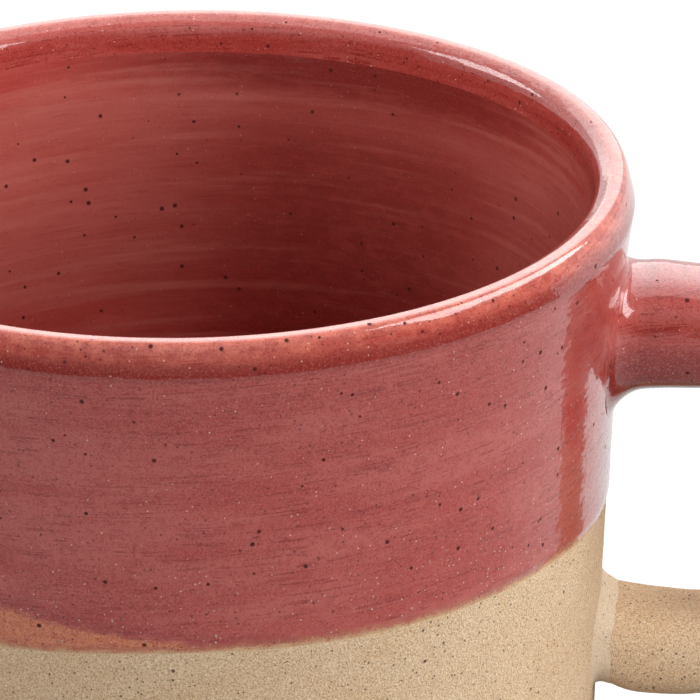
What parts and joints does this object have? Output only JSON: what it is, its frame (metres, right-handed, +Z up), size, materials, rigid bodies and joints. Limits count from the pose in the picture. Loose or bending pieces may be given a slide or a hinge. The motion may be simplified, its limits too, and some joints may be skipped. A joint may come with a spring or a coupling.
{
  "type": "stoneware mug",
  "caption": "Straight-sided stoneware mug with a round loop handle, red glaze inside and over the upper half, and bare gritty clay below a level dip line.",
  "frame": {"origin": "centre of the flat foot, on the surface that the mug stands on", "axes": "+Z up along the cup's axis, +X out through the handle"},
  "size_m": [0.108, 0.0884, 0.082],
  "materials": {
    "bare_stoneware": "unglazed fired buff stoneware, matt and gritty, with fine dark specks",
    "joining_slip": "fired joining slip of the same clay, slightly paler and smoother",
    "red_glaze": "glossy dusty red glaze with level brush streaks, small dark specks and an orange edge where it thins"
  },
  "bodies": {
    "root": {"mug_body": "bare_stoneware", "handle": "bare_stoneware", "upper_slip_joint": "joining_slip", "lower_slip_joint": "joining_slip", "inside_glaze": "red_glaze", "outside_glaze": "red_glaze", "handle_glaze": "red_glaze"}
  },
  "joints": []
}
